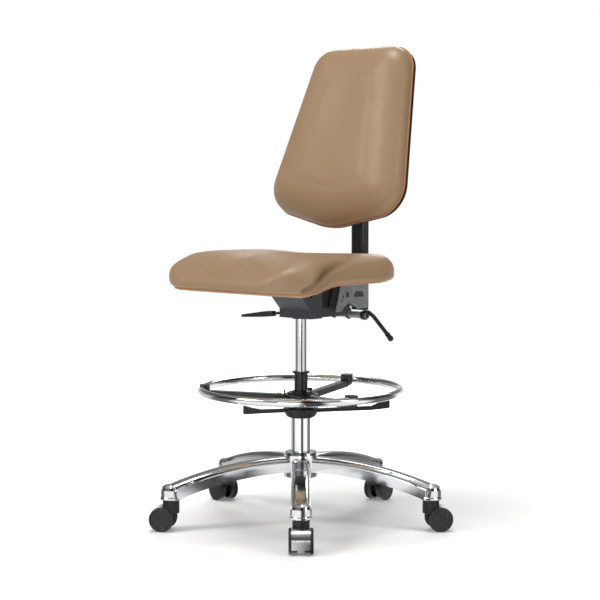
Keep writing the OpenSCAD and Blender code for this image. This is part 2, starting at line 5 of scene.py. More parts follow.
import bpy
import numpy as np
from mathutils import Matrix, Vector
from mathutils.bvhtree import BVHTree


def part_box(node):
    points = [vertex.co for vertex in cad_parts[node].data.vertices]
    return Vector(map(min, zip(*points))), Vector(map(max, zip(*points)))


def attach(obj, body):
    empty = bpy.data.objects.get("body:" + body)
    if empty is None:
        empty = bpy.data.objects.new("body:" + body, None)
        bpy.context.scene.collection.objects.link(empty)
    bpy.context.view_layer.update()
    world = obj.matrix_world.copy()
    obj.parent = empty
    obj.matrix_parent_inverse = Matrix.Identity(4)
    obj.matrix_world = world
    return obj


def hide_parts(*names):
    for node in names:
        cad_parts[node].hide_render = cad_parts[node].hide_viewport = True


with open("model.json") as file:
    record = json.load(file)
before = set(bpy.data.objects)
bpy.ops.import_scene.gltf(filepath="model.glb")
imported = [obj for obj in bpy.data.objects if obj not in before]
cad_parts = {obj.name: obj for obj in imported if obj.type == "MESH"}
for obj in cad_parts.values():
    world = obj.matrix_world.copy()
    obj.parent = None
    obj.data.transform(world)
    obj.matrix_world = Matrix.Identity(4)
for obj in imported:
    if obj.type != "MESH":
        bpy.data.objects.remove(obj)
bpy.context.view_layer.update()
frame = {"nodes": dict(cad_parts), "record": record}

NODES = frame["nodes"]
SEAT_LOW, SEAT_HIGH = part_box("seat_cushion")

# Covers, in metres: remesh size, how much smaller they start, how far they may swell, and path steps
VOXEL = 0.005
SHRINK = 0.002
PUFF_CAP = 0.006
PUFF_FRAMES = 20
PUFF_PRESSURE = 4.0
OUTLINE_STEP = 0.003
WELT_STEP = 0.006
WELT_R = 0.0026
STITCH_LONG = 0.0042
STITCH_STEP = 0.0068
STITCH_R = 0.0006
STITCH_SIDES = 6

# Seat: half width, corner radius, underside's height, its dip and the tuck under the front edge
SEAT_HALF = 0.232
SEAT_CORNER = 0.110
SEAT_UNDER = 0.602
UNDER_DIP = 0.024
FRONT_TUCK = 0.028
TUCK_REACH = 0.070

# Seat's rounded edge: its middle height and its reaches over and under, and what front and rear add
EDGE_HEIGHT, EDGE_HEIGHT_FRONT, EDGE_HEIGHT_REAR = 0.621, -0.009, -0.004
EDGE_OVER, EDGE_OVER_FRONT, EDGE_OVER_REAR = 0.024, 0.058, 0.028
EDGE_UNDER, EDGE_UNDER_FRONT, EDGE_UNDER_REAR = 0.018, 0.052, 0.014

# Thigh fold, and the broader dip beside it
FOLD_DEPTH, FOLD_WIDTH, FOLD_RIM = 0.009, 0.010, 0.002
LEE_DEPTH, LEE_WIDTH = 0.003, 0.028

# Backrest: how it leans, and where its own frame has its origin
BACK_LEAN = math.radians(17.7)
BACK_ORIGIN = Vector((0.0, 0.144, 0.820))
BACK_EDGE_REACH = 0.095
BACK_THICK = 0.0625

# Camera: where it stands, which way it looks, and its lens in millimetres
CAMERA_STAND = math.radians(43)
CAMERA_AZIMUTH = math.radians(43.035)
CAMERA_PITCH = math.radians(4.375)
CAMERA_DISTANCE = 4.045
CAMERA_HEIGHT = 0.861
CAMERA_LENS = 99.06

FLOOR_RADIUS = 2.8
FLOOR_SIDES = 96


# ---- mesh helpers ----

def link_object(name, data):
    """New object of this data, in the scene."""
    obj = bpy.data.objects.new(name, data)
    bpy.context.scene.collection.objects.link(obj)
    return obj


def mesh_object(name, verts, faces, smooth=True):
    """New object of a mesh given by its vertices and faces."""
    mesh = bpy.data.meshes.new(name)
    mesh.from_pydata([tuple(v) for v in verts], [], faces)
    mesh.validate()
    mesh.polygons.foreach_set("use_smooth", [smooth] * len(mesh.polygons))
    return link_object(name, mesh)


def get_coords(mesh):
    co = np.empty(len(mesh.vertices) * 3, np.float32)
    mesh.vertices.foreach_get("co", co)
    return co.reshape(-1, 3).astype(float)


def set_coords(mesh, co):
    mesh.vertices.foreach_set("co", co.astype(np.float32).ravel())
    mesh.update()


def get_normals(mesh):
    no = np.empty(len(mesh.vertices) * 3, np.float32)
    mesh.vertices.foreach_get("normal", no)
    return no.reshape(-1, 3).astype(float)


def edge_array(mesh):
    ed = np.empty(len(mesh.edges) * 2, np.int32)
    mesh.edges.foreach_get("vertices", ed)
    return ed.reshape(-1, 2)


def relax(mesh, rounds, frozen):
    """Laplacian smoothing; frozen, from 0 to 1, says how far each vertex is held where it is."""
    ed = edge_array(mesh)
    co = get_coords(mesh)
    count = np.bincount(ed.ravel(), minlength=len(co)).reshape(-1, 1)
    free = 1.0 - frozen.reshape(-1, 1)
    ends, others = ed.T.ravel(), ed[:, ::-1].T.ravel()
    for _ in range(rounds):
        total = np.stack([np.bincount(ends, co[others, i], len(co)) for i in range(3)], axis=1)
        co += 0.5 * free * (total / np.maximum(count, 1) - co)
    set_coords(mesh, co)


def apply_modifiers(obj):
    """Replaces the object's mesh with its evaluated one and drops the modifiers."""
    graph = bpy.context.evaluated_depsgraph_get()
    mesh = bpy.data.meshes.new_from_object(obj.evaluated_get(graph), depsgraph=graph)
    old = obj.data
    obj.modifiers.clear()
    obj.data = mesh
    bpy.data.meshes.remove(old)


def bvh_of(obj):
    """Search tree of the object's evaluated mesh."""
    graph = bpy.context.evaluated_depsgraph_get()
    return BVHTree.FromObject(obj, graph)


# ---- outlines ----

def disc_hull(discs, count=720):
    """Outline of the convex hull of discs (x, y, radius), as points in order."""
    pts = []
    for k in range(count):
        a = 2 * math.pi * k / count
        n = Vector((math.cos(a), math.sin(a)))
        best = max(discs, key=lambda d: d[0] * n.x + d[1] * n.y + d[2])
        pts.append(Vector((best[0], best[1])) + best[2] * n)
    return pts


def resample(pts, step):
    """Points at even steps along a closed polyline."""
    p = np.array([tuple(q) for q in pts])
    p = np.vstack([p, p[:1]])
    seg = np.linalg.norm(np.diff(p, axis=0), axis=1)
    s = np.concatenate([[0], np.cumsum(seg)])
    n = max(3, int(round(s[-1] / step)))
    t = np.linspace(0, s[-1], n, endpoint=False)
    return [Vector([np.interp(v, s, p[:, i]) for i in range(p.shape[1])]) for v in t]


def seat_outline():
    """The seat's outline in plan: four corner discs and what lies between them."""
    front, rear = SEAT_LOW.y, SEAT_HIGH.y
    x = SEAT_HALF - SEAT_CORNER
    return disc_hull([
        (s * x, y, SEAT_CORNER) for s in (-1, 1) for y in (front + SEAT_CORNER, rear - SEAT_CORNER)
    ])


def back_outline(inset=0.0):
    """The backrest's outline in its own frame: a large middle disc, two low and two high corners."""
    return disc_hull([(0, 0.085, 0.183 - inset)]
                     + [(s * 0.133, 0.005, 0.075 - inset) for s in (-1, 1)]
                     + [(s * 0.090, 0.305, 0.068 - inset) for s in (-1, 1)])


def from_back(x, y, z):
    """A point of the backrest's own frame (width, depth, height) in the row frame."""
    c, s = math.cos(BACK_LEAN), math.sin(BACK_LEAN)
    return BACK_ORIGIN + Vector((x, y * c + z * s, -y * s + z * c))


def ease(t):
    """Smooth step from 0 to 1."""
    t = min(1.0, max(0.0, t))
    return t * t * (3 - 2 * t)


# ---- padding ----

def pad_from_node(node, name):
    """Remeshed copy of a cushion's CAD solid, as the start of its cover."""
    obj = link_object(name, NODES[node].data.copy())
    obj.data.materials.clear()
    mod = obj.modifiers.new("remesh", "REMESH")
    mod.mode = "VOXEL"
    mod.voxel_size = VOXEL
    apply_modifiers(obj)
    obj.data.polygons.foreach_set("use_smooth", [True] * len(obj.data.polygons))
    return obj


def puff(obj, pinned):
    """Inflates the cover as cloth under pressure; no point moves further than PUFF_CAP."""
    rest = get_coords(obj.data)
    group = obj.vertex_groups.new(name="pin")
    held = pinned.round(2)
    for weight in sorted(set(held[held > 0])):
        group.add([int(i) for i in np.flatnonzero(held == weight)], float(weight), "REPLACE")
    mod = obj.modifiers.new("cloth", "CLOTH")
    cloth = mod.settings
    cloth.quality = 6
    cloth.mass = 0.4
    cloth.tension_stiffness = cloth.compression_stiffness = 18
    cloth.shear_stiffness = 8
    cloth.bending_stiffness = 8
    cloth.air_damping = 2
    cloth.use_pressure = True
    cloth.uniform_pressure_force = PUFF_PRESSURE
    cloth.vertex_group_mass = "pin"
    cloth.effector_weights.gravity = 0
    mod.point_cache.frame_start, mod.point_cache.frame_end = 1, PUFF_FRAMES
    scene = bpy.context.scene
    for f in range(1, PUFF_FRAMES + 1):
        scene.frame_set(f)
    graph = bpy.context.evaluated_depsgraph_get()
    puffed = get_coords(obj.evaluated_get(graph).data)
    obj.modifiers.remove(mod)
    obj.vertex_groups.remove(group)
    scene.frame_set(1)
    move = puffed - rest
    far = np.linalg.norm(move, axis=1, keepdims=True)
    keep = PUFF_CAP * np.tanh(far / PUFF_CAP) / np.maximum(far, 1e-9)
    set_coords(obj.data, rest + move * keep)


def inflated_cover(node, name, pins_of, rounds):
    """Cover made from a cushion's CAD solid and puffed up; gives it and how far each point is held."""
    pad = pad_from_node(node, name)
    pins = pins_of(get_coords(pad.data))
    relax(pad.data, rounds, pins)
    co, no = get_coords(pad.data), get_normals(pad.data)
    set_coords(pad.data, co - no * (SHRINK * (1 - pins))[:, None])
    puff(pad, pins)
    relax(pad.data, 12, pins)
    return pad, pins


def inset_of(plan, outline):
    """How far inside a closed outline each plan point lies, and the outward direction there."""
    q = np.array([tuple(v) for v in outline])
    out = np.empty_like(plan)
    inset = np.empty(len(plan))
    edge = np.roll(q, -1, axis=0) - np.roll(q, 1, axis=0)
    normal = np.stack([edge[:, 1], -edge[:, 0]], axis=1)
    normal /= np.linalg.norm(normal, axis=1, keepdims=True)
    batch = 4000
    for first in range(0, len(plan), batch):
        part = plan[first:first + batch]
        near = np.argmin(((part[:, None] - q[None]) ** 2).sum(axis=2), axis=1)
        out[first:first + batch] = normal[near]
        inset[first:first + batch] = ((q[near] - part) * normal[near]).sum(axis=1)
    return inset, out


def round_over(inset, height, reach, full, power):
    """Pulls points outside a superelliptic edge on to it; gives the new inset and height."""
    u = np.clip((reach - inset) / reach, 0, 2)
    v = height / full
    r = (u ** power + np.abs(v) ** power) ** (1 / power)
    keep = np.where((inset < reach) & (r > 1), 1 / np.maximum(r, 1e-6), 1.0)
    return np.where(inset < reach, reach - reach * u * keep, inset), height * keep


def distance_to_path(co, path):
    """Distance of each vertex to a polyline, and how far along it (0 to 1) the nearest point lies."""
    p = np.array([tuple(q) for q in path])
    best = np.full(len(co), np.inf)
    along = np.zeros(len(co))
    for k in range(len(p) - 1):
        d = p[k + 1] - p[k]
        t = np.clip(((co - p[k]) @ d) / (d @ d), 0, 1)
        dist = np.linalg.norm(co - p[k] - t[:, None] * d, axis=1)
        near = dist < best
        best[near] = dist[near]
        along[near] = (k + t[near]) / (len(p) - 1)
    return best, along


def path_fade(along):
    """1 near the start of a path, easing off quickly before it and slowly towards the end."""
    t = np.clip(np.minimum(along / 0.08, (1 - along) / 0.78), 0, 1)
    return t * t * (3 - 2 * t)


def carve(obj, path):
    """Presses a soft valley with raised rims into the cover; gives how deep in it each vertex lies."""
    co, no = get_coords(obj.data), get_normals(obj.data)
    dist, along = distance_to_path(co, path)
    fade = path_fade(along)
    dip = np.exp(-(dist / FOLD_WIDTH) ** 2)
    rim = np.exp(-((dist - 1.9 * FOLD_WIDTH) / (0.9 * FOLD_WIDTH)) ** 2)
    co -= no * (fade * (FOLD_DEPTH * dip - FOLD_RIM * rim))[:, None]
    set_coords(obj.data, co)
    return fade * dip


def lee_of_fold(obj, path):
    """Hollows the flank just behind the fold; gives how far each vertex lies in that lee."""
    co, no = get_coords(obj.data), get_normals(obj.data)
    dist, along = distance_to_path(co, path)
    line = np.array([tuple(q) for q in path])
    at = np.interp(along, np.linspace(0, 1, len(line)), line[:, 1])
    behind = np.clip((co[:, 1] - at) / 0.008, 0, 1)
    lee = behind * path_fade(along) * np.exp(-(dist / LEE_WIDTH) ** 2)
    set_coords(obj.data, co - no * (LEE_DEPTH * lee)[:, None])
    return lee


def painted_shade_attribute(obj, values):
    """Stores how deep in a fold each vertex lies, which the cover's material turns into painted shade.
    """
    attr = obj.data.attributes.new("fold", "FLOAT", "POINT")
    attr.data.foreach_set("value", np.clip(values, 0, 1).astype(np.float32))


def add_subdivision(obj):
    mod = obj.modifiers.new("subdivision", "SUBSURF")
    mod.levels = mod.render_levels = 1


# ---- seams ----

def welt(name, path, radius):
    """Closed piping cord along a path."""
    curve = bpy.data.curves.new(name, "CURVE")
    curve.dimensions = "3D"
    curve.bevel_depth = radius
    curve.bevel_resolution = 4
    spline = curve.splines.new("POLY")
    spline.points.add(len(path) - 1)
    for point, p in zip(spline.points, path):
        point.co = (*p, 1)
    spline.use_cyclic_u = True
    cord = link_object(name, curve)
    graph = bpy.context.evaluated_depsgraph_get()
    mesh = bpy.data.meshes.new_from_object(cord.evaluated_get(graph), depsgraph=graph)
    mesh.polygons.foreach_set("use_smooth", [True] * len(mesh.polygons))
    bpy.data.objects.remove(cord)
    return link_object(name, mesh)


def smooth_loop(path, rounds):
    """Evens out a closed path."""
    p = np.array([tuple(q) for q in path])
    for _ in range(rounds):
        p = 0.5 * p + 0.25 * (np.roll(p, 1, axis=0) + np.roll(p, -1, axis=0))
    return [Vector(q) for q in p]


def stitch_row(name, path, outward):
    """Row of short raised stitches along a closed path; outward holds the cover's normals there."""
    verts, faces = [], []
    profile = [(-0.5, 0.0), (-0.42, 0.75), (-0.2, 1.0), (0.2, 1.0), (0.42, 0.75), (0.5, 0.0)]
    sides = STITCH_SIDES
    for k, p in enumerate(path):
        along = (path[(k + 1) % len(path)] - path[k - 1]).normalized()
        up = outward[k].normalized()
        side = along.cross(up).normalized()
        first = len(verts)
        for t, r in profile:
            sink = 0.55 * STITCH_R * (2 * t) ** 2
            for j in range(sides):
                a = 2 * math.pi * j / sides
                ring = math.cos(a) * up + math.sin(a) * side
                verts.append(p + along * t * STITCH_LONG + ring * max(r, 0.08) * STITCH_R - up * sink)
        for i in range(len(profile) - 1):
            for j in range(sides):
                a, b = first + i * sides + j, first + i * sides + (j + 1) % sides
                faces.append((a, a + sides, b + sides, b))
        last = first + (len(profile) - 1) * sides
        faces.append(tuple(first + j for j in range(sides)))
        faces.append(tuple(last + j for j in reversed(range(sides))))
    return mesh_object(name, verts, faces)


def spot_on_cover(tree, p, centre, proud):
    """Casts a point inwards on to the cover; gives a point so far proud of it, and the normal there."""
    out = (p - centre).normalized()
    hit = tree.ray_cast(p + 0.06 * out, -out, 0.12)
    if hit[0] is None:
        hit = tree.find_nearest(p)
    n = hit[1] if hit[1].dot(out) > 0 else -hit[1]
    return hit[0] + proud * n, n


# ---- seat ----

def seat_under(y):
    """Height of the seat's underside, which dips and then rises into the rounded front."""
    z = SEAT_UNDER - UNDER_DIP * ease((-0.105 - y) / 0.120)
    t = min(1.0, max(0.0, (SEAT_LOW.y + TUCK_REACH - y) / TUCK_REACH))
    return z + FRONT_TUCK * (1 - math.sqrt(1 - t * t))


def seat_pins(co):
    """1 where the cover is held by the board or the seam, falling to 0 away from them."""
    under = np.array([seat_under(y) for y in co[:, 1]])
    return np.clip((under + 0.006 - co[:, 2]) / 0.008, 0, 1)


def round_seat(obj):
    """Turns the seat's upright edge into a bullnose, deepest along the front."""
    co = get_coords(obj.data)
    inset, out = inset_of(co[:, :2], resample(seat_outline(), OUTLINE_STEP))
    front = np.array([ease((-0.140 - y) / 0.090) for y in co[:, 1]])
    rear = np.array([ease((y - 0.045) / 0.070) for y in co[:, 1]])
    middle = EDGE_HEIGHT + EDGE_HEIGHT_FRONT * front + EDGE_HEIGHT_REAR * rear
    above = co[:, 2] > middle
    reach_over = EDGE_OVER + EDGE_OVER_FRONT * front + EDGE_OVER_REAR * rear
    reach_under = EDGE_UNDER + EDGE_UNDER_FRONT * np.clip(-out[:, 1], 0, 1) + EDGE_UNDER_REAR * rear
    reach = np.where(above, reach_over, reach_under)
    inner = co[:, :2] - out * np.maximum(reach - inset, 0)[:, None]
    tree = bvh_of(obj)
    full = np.empty(len(co))
    for i, (x, y) in enumerate(inner):
        if above[i]:
            hit = tree.ray_cast(Vector((x, y, 0.8)), Vector((0, 0, -1)))
            full[i] = hit[0].z - middle[i] if hit[0] else 0.04
        else:
            full[i] = middle[i] - seat_under(max(y, SEAT_LOW.y + 0.060))
    new_inset, height = round_over(inset, co[:, 2] - middle, reach, np.maximum(full, 0.015), 2.0)
    co[:, :2] -= out * (new_inset - inset)[:, None]
    co[:, 2] = middle + height
    set_coords(obj.data, co)


def thigh_fold(side):
    """Path of the fold from the front corner's lower edge up the flank and on to the top."""
    pts = [
        (0.208, -0.232, 0.588), (0.219, -0.205, 0.602), (0.225, -0.180, 0.620), (0.226, -0.158, 0.636),
        (0.220, -0.122, 0.648), (0.211, -0.080, 0.656), (0.206, -0.036, 0.661), (0.196, 0.008, 0.666),
    ]
    return [Vector((side * x, y, z)) for x, y, z in pts]


def seat_shape(obj):
    """Presses the sitting hollow and the two thigh folds into the seat; gives the painted shade for the
    folds and the hollow behind them.
    """
    co = get_coords(obj.data)
    top = np.clip((co[:, 2] - 0.628) / 0.03, 0, 1)
    hollow = np.exp(-(co[:, 0] / 0.140) ** 2 - ((co[:, 1] - 0.045) / 0.085) ** 2)
    groove = np.exp(-(co[:, 0] / 0.040) ** 2) * np.clip((-0.05 - co[:, 1]) / 0.12, 0, 1)
    co[:, 2] -= top * (0.010 * hollow + 0.004 * groove)
    set_coords(obj.data, co)
    # Painted shade: fold depth, and more weakly the lee behind each fold, set how dark the vinyl is
    # painted there.
    folds = np.zeros(len(co))
    for side in (-1, 1):
        folds = np.maximum(folds, carve(obj, thigh_fold(side)))
        folds = np.maximum(folds, 0.55 * lee_of_fold(obj, thigh_fold(side)))
    return folds


def build_seat():
    pad, pins = inflated_cover("seat_cushion", "seat_cover", seat_pins, 14)
    round_seat(pad)
    relax(pad.data, 12, np.clip(pins, 0, 0.9))
    painted_shade_attribute(pad, seat_shape(pad))
    add_subdivision(pad)
    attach(pad, "lift")
    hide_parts("seat_cushion")
    return pad


def seat_spine(p):
    """Point deep inside the seat, level with the bullnose, that faces an outline point."""
    return Vector((0.55 * p.x, max(-0.19, min(0.06, p.y)), 0.618))


def seat_flank_spot(p, rise):
    """A point on the outline, so far above the seat's underside."""
    return Vector((p.x, p.y, seat_under(max(p.y, SEAT_LOW.y + 0.050)) + rise))


def build_seat_seam(pad):
    """Piping round the lower edge and a row of stitches on the flank above it."""
    tree = bvh_of(pad)
    seam = [
        spot_on_cover(tree, seat_flank_spot(p, 0.0005), seat_spine(p), 0.0004)[0]
        for p in resample(seat_outline(), WELT_STEP)
    ]
    cord = welt("seat_welt", smooth_loop(seam, 3), WELT_R)
    row = [
        spot_on_cover(tree, seat_flank_spot(p, 0.016), seat_spine(p), 0.0001)
        for p in resample(seat_outline(), STITCH_STEP)
    ]
    thread = stitch_row("seat_stitching", [spot for spot, _ in row], [normal for _, normal in row])
    for obj in (cord, thread):
        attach(obj, "lift")
    return cord, thread


# ---- backrest ----

def to_back(co):
    """Row-frame points in the backrest's own frame."""
    c, s = math.cos(BACK_LEAN), math.sin(BACK_LEAN)
    d = co - np.array(BACK_ORIGIN)
    return np.stack([d[:, 0], d[:, 1] * c - d[:, 2] * s, d[:, 1] * s + d[:, 2] * c], axis=1)


def back_pins(co):
    """1 where the cover is held by the board, falling to 0 ahead of it."""
    depth = to_back(co)[:, 1]
    return np.clip((depth + 0.014) / 0.006, 0, 1)


def back_shape(obj):
    """Presses a shallow hollow into the upper part of the backrest's face."""
    co, no = get_coords(obj.data), get_normals(obj.data)
    local = to_back(co)
    face = np.clip((-local[:, 1] - 0.030) / 0.02, 0, 1)
    hollow = np.exp(-(local[:, 0] / 0.090) ** 2 - ((local[:, 2] - 0.215) / 0.100) ** 2)
    set_coords(obj.data, co - no * (0.006 * face * hollow)[:, None])


def round_back(obj):
    """Gives the cushion a soft domed edge in place of its stepped one."""
    co = get_coords(obj.data)
    local = to_back(co)
    inset, out = inset_of(local[:, [0, 2]], resample(back_outline(), OUTLINE_STEP))
    new_inset, height = round_over(inset, np.maximum(-local[:, 1], 0), BACK_EDGE_REACH, BACK_THICK, 2.5)
    local[:, [0, 2]] -= out * (new_inset - inset)[:, None]
    local[:, 1] = np.where(local[:, 1] < 0, -height, local[:, 1])
    set_coords(obj.data, np.array([from_back(*row) for row in local]))


def build_back():
    pad, pins = inflated_cover("back_cushion", "back_cover", back_pins, 6)
    round_back(pad)
    relax(pad.data, 8, pins)
    back_shape(pad)
    painted_shade_attribute(pad, np.zeros(len(pad.data.vertices)))
    add_subdivision(pad)
    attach(pad, "backrest")
    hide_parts("back_cushion")
    return pad


def build_back_seam(pad):
    """Piping between the cushion and the shell, and a row of stitches just ahead of it."""
    tree = bvh_of(pad)
    outline = resample(back_outline(0.0015), WELT_STEP)
    cord = welt("back_welt", [from_back(p.x, -0.0032, p.y) for p in outline], WELT_R + 0.0004)
    spots, normals = [], []
    for p in resample(back_outline(), STITCH_STEP):
        here = from_back(p.x, -0.0125, p.y)
        middle = from_back(p.x * 0.4, -0.0125, min(0.30, max(0.03, p.y)))
        spot, normal = spot_on_cover(tree, here, middle, 0.0001)
        spots.append(spot)
        normals.append(normal)
    thread = stitch_row("back_stitching", spots, normals)
    for obj in (cord, thread):
        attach(obj, "backrest")
    return cord, thread


# ---- materials ----

class Paint:
    """A Principled material with short calls for its nodes."""

    def __init__(self, name, color, rough, metallic=0.0, **sockets):
        self.mat = bpy.data.materials.new(name)
        self.mat.use_nodes = True
        self.tree = self.mat.node_tree
        self.bsdf = self.tree.nodes["Principled BSDF"]
        self.bsdf.inputs["Base Color"].default_value = (*color, 1)
        self.bsdf.inputs["Roughness"].default_value = rough
        self.bsdf.inputs["Metallic"].default_value = metallic
        for key, value in sockets.items():
            self.bsdf.inputs[key.replace("_", " ")].default_value = value
        self.coords = self.tree.nodes.new("ShaderNodeTexCoord").outputs["Object"]
        self.color = color
        self.height = None

    def node(self, kind, **values):
        n = self.tree.nodes.new("ShaderNode" + kind)
        for key, value in values.items():
            if key in n.inputs:
                n.inputs[key].default_value = value
            else:
                setattr(n, key, value)
        return n

    def link(self, a, b):
        self.tree.links.new(a, b)

    def stretch(self, scale):
        n = self.node("Mapping")
        n.inputs["Scale"].default_value = scale
        self.link(self.coords, n.inputs["Vector"])
        return n.outputs["Vector"]

    def noise(self, scale, detail=4.0, rough=0.55, vector=None):
        n = self.node("TexNoise", Scale=scale, Detail=detail, Roughness=rough)
        self.link(vector or self.coords, n.inputs["Vector"])
        return n.outputs["Fac"]

    def cells(self, scale):
        n = self.node("TexVoronoi", Scale=scale)
        self.link(self.coords, n.inputs["Vector"])
        return n.outputs["Distance"]

    def ramp(self, value, low, high, out_low=0.0, out_high=1.0):
        n = self.node("MapRange")
        for key, v in (("From Min", low), ("From Max", high), ("To Min", out_low), ("To Max", out_high)):
            n.inputs[key].default_value = v
        self.link(value, n.inputs["Value"])
        return n.outputs["Result"]

    def mix(self, factor, a, b):
        n = self.node("Mix", data_type="RGBA")
        self.link(factor, n.inputs[0])
        for socket, value in ((n.inputs[6], a), (n.inputs[7], b)):
            if isinstance(value, tuple):
                socket.default_value = (*value, 1)
            else:
                self.link(value, socket)
        return n.outputs[2]

    def vary_color(self, factor, other):
        self.color = self.mix(factor, self.color, other)
        self.link(self.color, self.bsdf.inputs["Base Color"])

    def vary_rough(self, value, low, high, out_low, out_high):
        self.link(self.ramp(value, low, high, out_low, out_high), self.bsdf.inputs["Roughness"])

    def bump(self, value, strength, distance):
        n = self.node("Bump", Strength=strength, Distance=distance)
        self.link(value, n.inputs["Height"])
        if self.height:
            self.link(self.height, n.inputs["Normal"])
        self.height = n.outputs["Normal"]
        self.link(self.height, self.bsdf.inputs["Normal"])


def vinyl(name, color, dark, paint_fold_shade=True):
    """Upholstery vinyl: fine leather grain, soft mottling, and painted shade that darkens its colour
    deep in folds and behind them.
    """
    p = Paint(name, color, 0.42, Specular_IOR_Level=0.42, Coat_Weight=0.06, Coat_Roughness=0.3)
    p.vary_color(p.ramp(p.noise(7, 5), 0.35, 0.75), tuple(c * 0.93 for c in color))
    p.vary_color(p.ramp(p.noise(260, 3), 0.45, 0.8, 0, 0.5), tuple(c * 0.86 for c in color))
    if paint_fold_shade:
        # Painted shade: the fold attribute darkens the colour towards the dark brown in the thigh folds
        # and their lee, where shade falls.
        fold = p.node("Attribute", attribute_name="fold").outputs["Fac"]
        p.vary_color(p.ramp(fold, 0.08, 0.9, 0, 0.80), dark)
    p.vary_rough(p.noise(38, 5), 0.3, 0.7, 0.36, 0.50)
    p.bump(p.noise(24, 2), 0.10, 0.004)
    p.bump(p.cells(700), 0.32, 0.0005)
    p.bump(p.noise(2200, 3), 0.16, 0.0002)
    return p.mat


def chrome(name, tint, rough_low, rough_high):
    """Plated or polished metal with faint waves and handling haze."""
    p = Paint(name, tint, 0.07, 1.0)
    p.vary_color(p.ramp(p.noise(26, 4), 0.45, 0.8, 0, 0.5), tuple(c * 0.90 for c in tint))
    p.vary_rough(p.noise(18, 6), 0.35, 0.72, rough_low, rough_high)
    p.bump(p.noise(30, 2), 0.03, 0.001)
    p.bump(p.noise(420, 4), 0.02, 0.0002)
    return p.mat


def brushed(name, tint, rough):
    """Bare steel with drawn streaks along its height."""
    p = Paint(name, tint, rough, 1.0)
    streaks = p.noise(900, 3, 0.6, p.stretch((1, 1, 0.04)))
    p.vary_color(p.ramp(streaks, 0.35, 0.75, 0, 0.7), tuple(c * 0.78 for c in tint))
    p.vary_rough(p.noise(55, 5), 0.3, 0.7, rough - 0.07, rough + 0.12)
    p.bump(streaks, 0.12, 0.0002)
    return p.mat


def zinc(name, tint):
    """Zinc plate with its crystal spangle and dull spots."""
    p = Paint(name, tint, 0.36, 0.85)
    p.vary_color(p.ramp(p.cells(130), 0.1, 0.8, 0, 0.65), tuple(c * 0.72 for c in tint))
    p.vary_color(p.ramp(p.noise(36, 6), 0.56, 0.72, 0, 0.45), (0.30, 0.31, 0.32))
    p.vary_rough(p.noise(70, 5), 0.3, 0.7, 0.28, 0.46)
    p.bump(p.noise(240, 4), 0.10, 0.0004)
    return p.mat


def enamel(name, color, worn, rough):
    """Painted steel with orange peel, rubbed patches and fine scratches."""
    p = Paint(name, color, rough, 0.0, Specular_IOR_Level=0.5, Coat_Weight=0.25, Coat_Roughness=0.22)
    p.vary_color(p.ramp(p.noise(14, 5), 0.4, 0.7, 0, 0.6), tuple(c * 1.3 for c in color))
    scratches = p.noise(520, 2, 0.5, p.stretch((0.05, 1, 1)))
    p.vary_color(p.ramp(scratches, 0.70, 0.78, 0, 0.55), worn)
    p.vary_rough(p.noise(48, 5), 0.3, 0.7, rough - 0.08, rough + 0.12)
    p.bump(p.noise(330, 2), 0.10, 0.0004)
    p.bump(scratches, 0.05, 0.0002)
    return p.mat


def moulded(name, color, rough, grain, dust=0.0):
    """Moulded plastic with a fine spark-eroded grain, dulled patches and a little dust."""
    p = Paint(name, color, rough, 0.0, Specular_IOR_Level=0.45)
    p.vary_color(p.ramp(p.noise(20, 5), 0.4, 0.75, 0, 0.7), tuple(c * 1.5 for c in color))
    if dust:
        p.vary_color(p.ramp(p.noise(90, 6), 0.55, 0.8, 0, dust), (0.22, 0.21, 0.20))
    p.vary_rough(p.noise(60, 5), 0.3, 0.7, rough - 0.08, rough + 0.12)
    p.bump(p.cells(grain), 0.14, 0.0004)
    p.bump(p.noise(grain * 2.2, 3), 0.12, 0.0002)
    return p.mat


def plywood(name):
    """Plywood: long grain on its faces and plies on its edges."""
    light, deep = (0.62, 0.45, 0.27), (0.42, 0.27, 0.14)
    p = Paint(name, light, 0.6, 0.0)
    grain = p.noise(60, 6, 0.6, p.stretch((1, 0.06, 1)))
    p.vary_color(p.ramp(grain, 0.35, 0.7), deep)
    wave = p.node("TexWave", Scale=320.0, Distortion=0.6, bands_direction="Z")
    p.link(p.coords, wave.inputs["Vector"])
    p.vary_color(p.ramp(wave.outputs["Fac"], 0.35, 0.65, 0, 0.4), (0.30, 0.18, 0.09))
    p.vary_rough(grain, 0.3, 0.7, 0.5, 0.72)
    p.bump(grain, 0.25, 0.0005)
    return p.mat


def thread(name, color):
    """Twisted sewing thread."""
    p = Paint(name, color, 0.6)
    twist = p.noise(1500, 2, 0.5, p.stretch((1, 1, 0.4)))
    p.vary_color(p.ramp(twist, 0.3, 0.7), tuple(c * 0.6 for c in color))
    p.vary_rough(twist, 0.3, 0.7, 0.5, 0.75)
    p.bump(twist, 0.3, 0.0003)
    return p.mat


